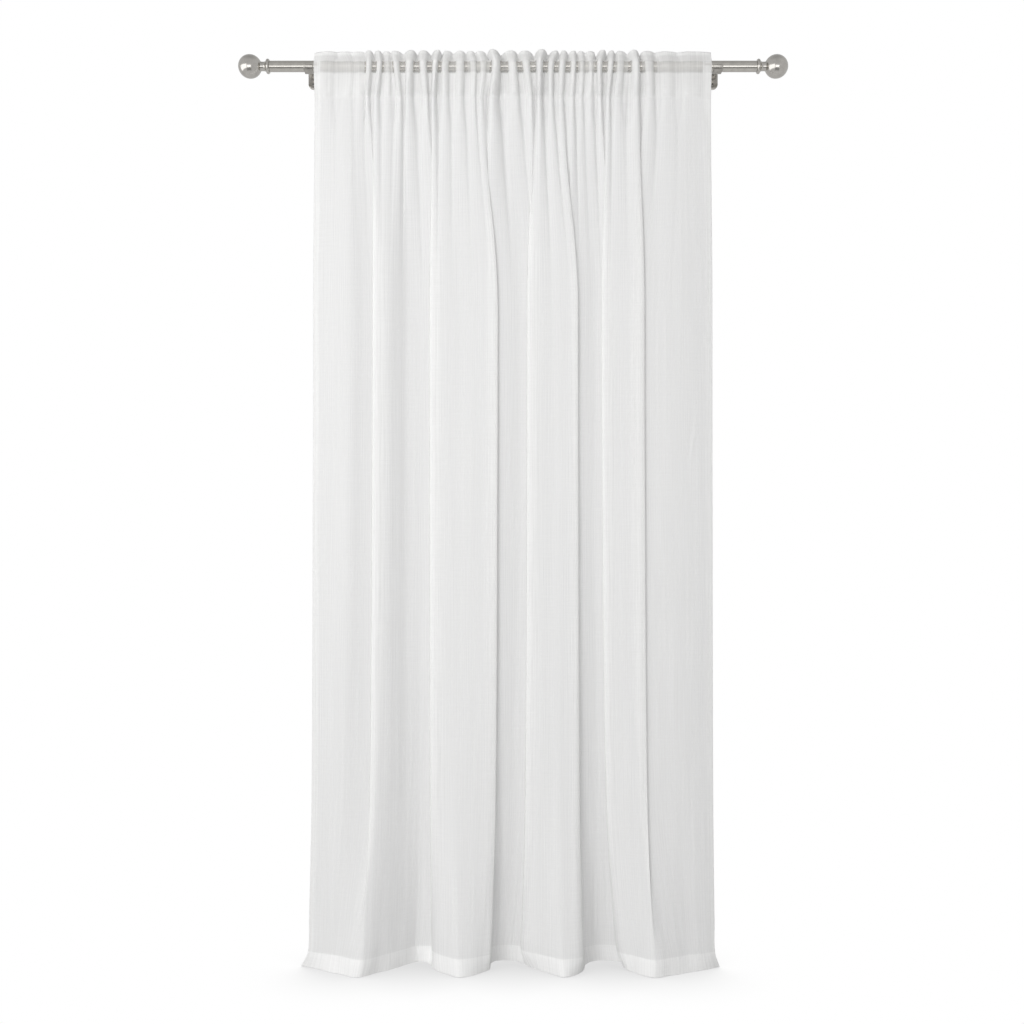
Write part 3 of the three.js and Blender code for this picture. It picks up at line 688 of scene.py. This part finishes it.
def row_points(z, layer):
    """A level row of the cloth: the face, the facing behind the pocket or the turned-up hem."""
    dip = KNUCKLE_DIP * ease(z, KNUCKLE_START, CLOTH_HEIGHT)
    heights = [z - dip * c.rise * abs(c.across) ** 2.6 for c in columns]
    base = [middle_point(c, z) for c in columns]
    points = []
    for i, column in enumerate(columns):
        before, after = base[max(i - 1, 0)], base[min(i + 1, len(base) - 1)]
        dx, dy = after[0] - before[0], after[1] - before[1]
        length = math.hypot(dx, dy) or 1.0
        if column.place < 0 or column.place > CLOTH_WIDTH:
            dx, dy = -dx, -dy
        back_x, back_y = -dy / length, dx / length
        off = SIDE_GAP * column.turned
        if layer == "hem":
            off = HEM_GAP - off
        if layer == "foot":
            off = HEM_GAP / 2
        if layer == "facing":
            off = -off
        x, y = base[i][0] + back_x * off, base[i][1] + back_y * off
        if layer in ("face", "facing") and z >= STITCH_HEIGHT:
            apart = column.rise * pocket_opening(z) + pocket_half(z)
            y += -apart if layer == "face" else apart
        points.append((x, y, heights[i]))
    return points


# The band of the face that the rod stretches, below and above the rod's axis.
BAND_BELOW, BAND_ABOVE, BAND_EDGE = 17, 6, 3


def tightness(column, z, layer):
    """How far the weave is pulled open over the rod, from 0 to 1."""
    if layer != "face":
        return 0.0
    low, high = ROD_MM - BAND_BELOW, ROD_MM + BAND_ABOVE
    band = ease(z, low - BAND_EDGE, low) * (1 - ease(z, high, high + BAND_EDGE))
    flat = 1 - ease(column.rise, 2, 6)
    return band * mix(1 - ease(standing(column, z), -0.9, 0.4), 0.45, flat) * (1 - column.turned)


# The rows of the cloth from the hem's hidden edge, round the foot, up the face, over the top
# and down behind the pocket, each with its place along the cloth.
def levels(start, stop, step):
    """Even levels from start up or down to stop, without stop itself."""
    count = max(round(abs(stop - start) / step), 1)
    return [mix(start, stop, i / count) for i in range(count)]


hem_rows = [(z, "hem") for z in levels(BOTTOM_HEM, 1.0, 6)] + [(1.0, "hem")]
face_heights = (
    [1.0] + levels(1.7, BOTTOM_HEM, 5) + [BOTTOM_HEM] + levels(BOTTOM_HEM + 0.8, 120, 9)
    + levels(120, 391, 18) + levels(391, 1160, 29) + levels(1160, 1300, 14)
    + levels(1300, 1532, 26) + levels(1532, 1880, 18)
    + levels(1880, STITCH_HEIGHT - 12, 9) + levels(STITCH_HEIGHT - 12, STITCH_HEIGHT, 3)
    + levels(STITCH_HEIGHT, STITCH_HEIGHT + 12, 3)
    + levels(STITCH_HEIGHT + 12, 2094, 5) + levels(2094, 2118, 2) + levels(2118, CLOTH_HEIGHT, 3)
    + [CLOTH_HEIGHT]
)
facing_heights = (
    levels(CLOTH_HEIGHT, 2118, 4) + levels(2118, 2094, 2.4)
    + levels(2094, STITCH_HEIGHT + 8, 7) + [STITCH_HEIGHT + 8, STITCH_HEIGHT + 3, STITCH_HEIGHT]
)
rows = hem_rows + [(0.0, "foot")] + [(z, "face") for z in face_heights]
rows += [(z, "facing") for z in facing_heights]
sheets = [row_points(z, layer) for z, layer in rows]
middle = len(columns) // 2
lengths = [0.0]
for before, after in zip(sheets, sheets[1:]):
    lengths.append(lengths[-1] + abs(before[middle][2] - after[middle][2]) + 0.05)
CUT_LENGTH = lengths[-1]

# Rows of lockstitch: along the hem and the pocket on both faces, and down the turned-back sides.
STITCH_PITCH, STITCH_SHARE, STITCH_WIDTH, SEAM_INSET = 3.0, 0.72, 0.5, 1.5
face_runs = {z: length for (z, layer), length in zip(rows, lengths) if layer == "face"}
LEVEL_SEAMS = [
    SEAM_INSET, face_runs[BOTTOM_HEM] - SEAM_INSET, face_runs[STITCH_HEIGHT], CUT_LENGTH - SEAM_INSET
]
SIDE_SEAMS = [SEAM_INSET - SIDE_HEM, SIDE_HEM - SEAM_INSET]
SIDE_SEAMS += [CLOTH_WIDTH - seam for seam in SIDE_SEAMS]

cloth = bmesh.new()
bmesh.ops.create_grid(cloth, x_segments=len(columns) - 1, y_segments=len(rows) - 1, size=0.5)
weave_map = cloth.loops.layers.uv.new("cloth")
tight_over_rod = cloth.verts.layers.float.new("tight")
doubled_at_hem = cloth.verts.layers.float.new("doubled")
grid_place = {}
for vertex in cloth.verts:
    i = round((vertex.co.x + 0.5) * (len(columns) - 1))
    j = round((vertex.co.y + 0.5) * (len(rows) - 1))
    grid_place[vertex] = (places[i] / 1000, lengths[j] / 1000)
    vertex.co = Vector(sheets[j][i]) / 1000
    vertex[tight_over_rod] = tightness(columns[i], *rows[j])
    vertex[doubled_at_hem] = 1.0 if rows[j][0] <= BOTTOM_HEM else 0.0
for face in cloth.faces:
    for loop in face.loops:
        loop[weave_map].uv = grid_place[loop.vert]
panel_mesh = bpy.data.meshes.new("voile_panel")
cloth.to_mesh(panel_mesh)
cloth.free()
panel_mesh.shade_smooth()


def worked_out(tree, operation, a, b):
    """The result of one operation on two numbers or sockets."""
    step = tree.nodes.new("ShaderNodeMath")
    step.operation = operation
    for socket, value in zip(step.inputs, (a, b)):
        if isinstance(value, float):
            socket.default_value = value
        else:
            tree.links.new(value, socket)
    return step.outputs["Value"]


# The yarn's white, a whiter white painted on the doubled hem to stand for the light its two layers give
# back, how much of the cloth is yarn and how much of that the rod's stretching takes away.
VOILE_WHITE, HEM_PAINTED_LIGHT = (0.91, 0.91, 0.905), (0.955, 0.955, 0.95)
COVER, STRETCHED = 0.95, 0.74


def voile_cloth():
    """Fine plain weave with uneven yarns: thicker slubs run down it and a few run across."""
    material, tree, output, shader = new_material("sheer_white_voile")
    down = grain(tree, (520, 7, 1), 1.0, 2.0, "UV")
    streaks = grain(tree, (150, 2.2, 1), 1.0, 2.0, "UV")
    across = grain(tree, (16, 620, 1), 1.0, 2.0, "UV")
    nubs = grain(tree, (30, 900, 1), 1.0, 1.0, "UV")

    thread = ranged(tree, down, -0.055, 0.055)
    for uneven in (
        ranged(tree, streaks, -0.05, 0.05),
        ranged(tree, across, -0.02, 0.02),
        ranged(tree, nubs, 0.0, 0.12, 0.70, 0.80),
    ):
        thread = worked_out(tree, "ADD", thread, uneven)
    over_rod = tree.nodes.new("ShaderNodeAttribute")
    over_rod.attribute_name = "tight"
    opened = worked_out(tree, "MULTIPLY", over_rod.outputs["Fac"], STRETCHED)
    weave = worked_out(tree, "SUBTRACT", worked_out(tree, "ADD", thread, COVER), opened)

    where = tree.nodes.new("ShaderNodeTexCoord")
    sides = tree.nodes.new("ShaderNodeSeparateXYZ")
    tree.links.new(where.outputs["UV"], sides.inputs["Vector"])

    def seam(line_along, line_across, places):
        """Rows of short stitches where one direction of the cloth crosses the given places."""
        on_seam = 0.0
        for place in places:
            near = worked_out(tree, "COMPARE", line_across, place / 1000)
            near.node.inputs[2].default_value = STITCH_WIDTH / 2000
            on_seam = worked_out(tree, "MAXIMUM", near, on_seam)
        steps = worked_out(tree, "MULTIPLY", line_along, 1000 / STITCH_PITCH)
        step = worked_out(tree, "FRACT", steps, 0.0)
        return worked_out(tree, "MULTIPLY", on_seam, worked_out(tree, "LESS_THAN", step, STITCH_SHARE))

    level_seams = seam(sides.outputs["X"], sides.outputs["Y"], LEVEL_SEAMS)
    side_seams = seam(sides.outputs["Y"], sides.outputs["X"], SIDE_SEAMS)
    stitches = worked_out(tree, "MAXIMUM", level_seams, side_seams)
    cover = worked_out(tree, "MAXIMUM", weave, stitches)
    relief = tree.nodes.new("ShaderNodeBump")
    relief.inputs["Strength"].default_value = 0.18
    relief.inputs["Distance"].default_value = 0.0004
    tree.links.new(worked_out(tree, "ADD", thread, stitches), relief.inputs["Height"])
    # Painted light: the doubled hem gets a whiter yarn colour and less translucency, so it renders
    # lighter than the cloth above.
    doubled = tree.nodes.new("ShaderNodeAttribute")
    doubled.attribute_name = "doubled"
    white = tree.nodes.new("ShaderNodeMix")
    white.data_type = "RGBA"
    white.inputs["A"].default_value = (*VOILE_WHITE, 1)
    white.inputs["B"].default_value = (*HEM_PAINTED_LIGHT, 1)
    tree.links.new(doubled.outputs["Fac"], white.inputs["Factor"])
    tree.links.new(white.outputs["Result"], shader.inputs["Base Color"])
    shader.inputs["Roughness"].default_value = 0.92
    shader.inputs["Specular IOR Level"].default_value = 0.1
    tree.links.new(relief.outputs["Normal"], shader.inputs["Normal"])
    glow = tree.nodes.new("ShaderNodeBsdfTranslucent")
    tree.links.new(white.outputs["Result"], glow.inputs["Color"])
    tree.links.new(relief.outputs["Normal"], glow.inputs["Normal"])
    yarn = tree.nodes.new("ShaderNodeMixShader")
    tree.links.new(ranged(tree, doubled.outputs["Fac"], 0.40, 0.30, 0, 1), yarn.inputs["Fac"])
    gaps = tree.nodes.new("ShaderNodeBsdfTransparent")
    sheer = tree.nodes.new("ShaderNodeMixShader")
    tree.links.new(shader.outputs["BSDF"], yarn.inputs[1])
    tree.links.new(glow.outputs["BSDF"], yarn.inputs[2])
    tree.links.new(cover, sheer.inputs["Fac"])
    tree.links.new(gaps.outputs["BSDF"], sheer.inputs[1])
    tree.links.new(yarn.outputs["Shader"], sheer.inputs[2])
    tree.links.new(sheer.outputs["Shader"], output.inputs["Surface"])
    return material


panel_mesh.materials.append(voile_cloth())
panel = bpy.data.objects.new("voile_panel", panel_mesh)
bpy.context.scene.collection.objects.link(panel)
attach(panel, "root")
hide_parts("curtain_panel")

# The studio: a plain white floor under the curtain that glows white, with a painted contact shadow
# where ambient occlusion dims it near the cloth; white light from all round that is strongest in front;
# a large soft light in front and a weaker one on the left.
floor = bmesh.new()
bmesh.ops.create_grid(floor, x_segments=8, y_segments=8, size=9.0)
bmesh.ops.translate(floor, verts=floor.verts, vec=(0, 0, -0.001))
floor_mesh = bpy.data.meshes.new("studio_floor")
floor.to_mesh(floor_mesh)
floor.free()
floor_white_painted_shadow, tree, output, shader = new_material("studio_white_painted_shadow")
shader.inputs["Base Color"].default_value = (0, 0, 0, 1)
shader.inputs["Roughness"].default_value = 0.9
shader.inputs["Specular IOR Level"].default_value = 0.0
shader.inputs["Emission Color"].default_value = (1, 1, 1, 1)
# Painted contact shadow: the floor's white glow is dimmed by ambient occlusion near the curtain.
near = tree.nodes.new("ShaderNodeAmbientOcclusion")
near.samples = 16
near.inputs["Distance"].default_value = 0.2
painted_contact_shadow = ranged(tree, near.outputs["AO"], 0.72, 1.0, 0.30, 0.97)
tree.links.new(painted_contact_shadow, shader.inputs["Emission Strength"])
floor_mesh.materials.append(floor_white_painted_shadow)
studio_floor = bpy.data.objects.new("studio_floor", floor_mesh)
bpy.context.scene.collection.objects.link(studio_floor)
studio_floor.visible_diffuse = False
studio_floor.visible_glossy = False
studio_floor.visible_transmission = False
studio_floor.visible_shadow = False

world = bpy.data.worlds.new("studio_light")
bpy.context.scene.world = world
world.use_nodes = True
tree = world.node_tree
surround = tree.nodes["Background"]
direction = tree.nodes.new("ShaderNodeTexCoord")
split = tree.nodes.new("ShaderNodeSeparateXYZ")
tree.links.new(direction.outputs["Generated"], split.inputs["Vector"])
toward = tree.nodes.new("ShaderNodeVectorMath")
toward.operation = "DOT_PRODUCT"
toward.inputs[1].default_value = (-0.22, -0.90, 0.37)
tree.links.new(direction.outputs["Generated"], toward.inputs[0])
around = ranged(tree, toward.outputs["Value"], 0.24, 0.58, -1, 1)
tree.links.new(around, surround.inputs["Strength"])
surround.inputs["Color"].default_value = (1, 1, 1, 1)
backdrop = tree.nodes.new("ShaderNodeBackground")
backdrop.inputs["Strength"].default_value = 1.0
backdrop.inputs["Color"].default_value = (1, 1, 1, 1)

# What the metal mirrors: dark and light bands at different heights, a bright one that faces the
# rod, and a softbox on the left.
height = tree.nodes.new("ShaderNodeValToRGB")
tree.links.new(ranged(tree, split.outputs["Z"], 0, 1, -1, 1), height.inputs["Fac"])
stops = [(0.0, 0.68), (0.25, 0.60), (0.50, 0.66), (0.60, 0.62), (0.87, 0.60), (1.0, 0.45)]
while len(height.color_ramp.elements) < len(stops):
    height.color_ramp.elements.new(0.5)
for element, (place, level) in zip(height.color_ramp.elements, stops):
    element.position, element.color = place, (level, level, level, 1)


def within(value, low, high, soft):
    """1 where the value is between low and high, falling to 0 just outside."""
    rising = ranged(tree, value, 0, 1, low - soft, low)
    return worked_out(tree, "MULTIPLY", rising, ranged(tree, value, 1, 0, high, high + soft))


def patch(across, deep, up, strength):
    """A lit patch of the surroundings between the given directions."""
    flat = worked_out(
        tree, "MULTIPLY", within(split.outputs["X"], *across), within(split.outputs["Y"], *deep)
    )
    lit = worked_out(tree, "MULTIPLY", flat, within(split.outputs["Z"], *up))
    return worked_out(tree, "MULTIPLY", lit, strength)


facing_rod = patch((-0.27, 0.27, 0.08), (-1.0, 0.0, 0.1), (-0.40, -0.12, 0.06), 1.4)
below_it = patch((-0.30, 0.30, 0.08), (-1.0, 0.0, 0.1), (-0.80, -0.48, 0.06), -0.30)
softbox = patch((-0.97, -0.42, 0.06), (-1.0, 0.05, 0.1), (-0.46, 0.10, 0.06), 1.2)
patches = height.outputs["Color"]
for one in (facing_rod, below_it, softbox):
    patches = worked_out(tree, "ADD", patches, one)
mirrored = tree.nodes.new("ShaderNodeBackground")
tree.links.new(patches, mirrored.inputs["Strength"])
mirrored.inputs["Color"].default_value = (1, 1, 1, 1)
seen = tree.nodes.new("ShaderNodeLightPath")
shine = tree.nodes.new("ShaderNodeMixShader")
tree.links.new(seen.outputs["Is Glossy Ray"], shine.inputs["Fac"])
tree.links.new(surround.outputs["Background"], shine.inputs[1])
tree.links.new(mirrored.outputs["Background"], shine.inputs[2])
choice = tree.nodes.new("ShaderNodeMixShader")
tree.links.new(seen.outputs["Is Camera Ray"], choice.inputs["Fac"])
tree.links.new(shine.outputs["Shader"], choice.inputs[1])
tree.links.new(backdrop.outputs["Background"], choice.inputs[2])
tree.links.new(choice.outputs["Shader"], tree.nodes["World Output"].inputs["Surface"])


def soft_light(name, place, target, width, height, power):
    """A softbox that points at a place on the curtain."""
    light = bpy.data.lights.new(name, "AREA")
    light.shape = "RECTANGLE"
    light.size, light.size_y, light.energy = width, height, power
    lamp = bpy.data.objects.new(name, light)
    lamp.location = place
    lamp.rotation_mode = "QUATERNION"
    lamp.rotation_quaternion = (Vector(target) - Vector(place)).to_track_quat("-Z", "Y")
    lamp.visible_camera = False
    lamp.visible_glossy = False
    bpy.context.scene.collection.objects.link(lamp)


soft_light("softbox_left", (-2.2, -2.8, 1.7), (0, 0, 1.1), 3.2, 2.4, 41)
soft_light("softbox_front", (-0.9, -3.5, 1.9), (0, 0, 1.1), 2.6, 1.8, 80)

scene = bpy.context.scene
scene.view_settings.view_transform = "Standard"

# The camera looks level at the middle of the curtain, from 2.88 m in front of it. Its focal
# length is given in pixels of the frame.
FOCAL_PIXELS, FRAME_PIXELS, SENSOR_WIDTH = 1236, 1024, 36
camera_data = bpy.data.cameras.new("camera")
camera_data.sensor_width = SENSOR_WIDTH
camera_data.lens = FOCAL_PIXELS / FRAME_PIXELS * SENSOR_WIDTH
camera = bpy.data.objects.new("camera", camera_data)
camera.location = (-0.0027, -2.880, 1.0618)
camera.rotation_euler = (math.pi / 2, 0, 0)
scene.collection.objects.link(camera)
scene.camera = camera
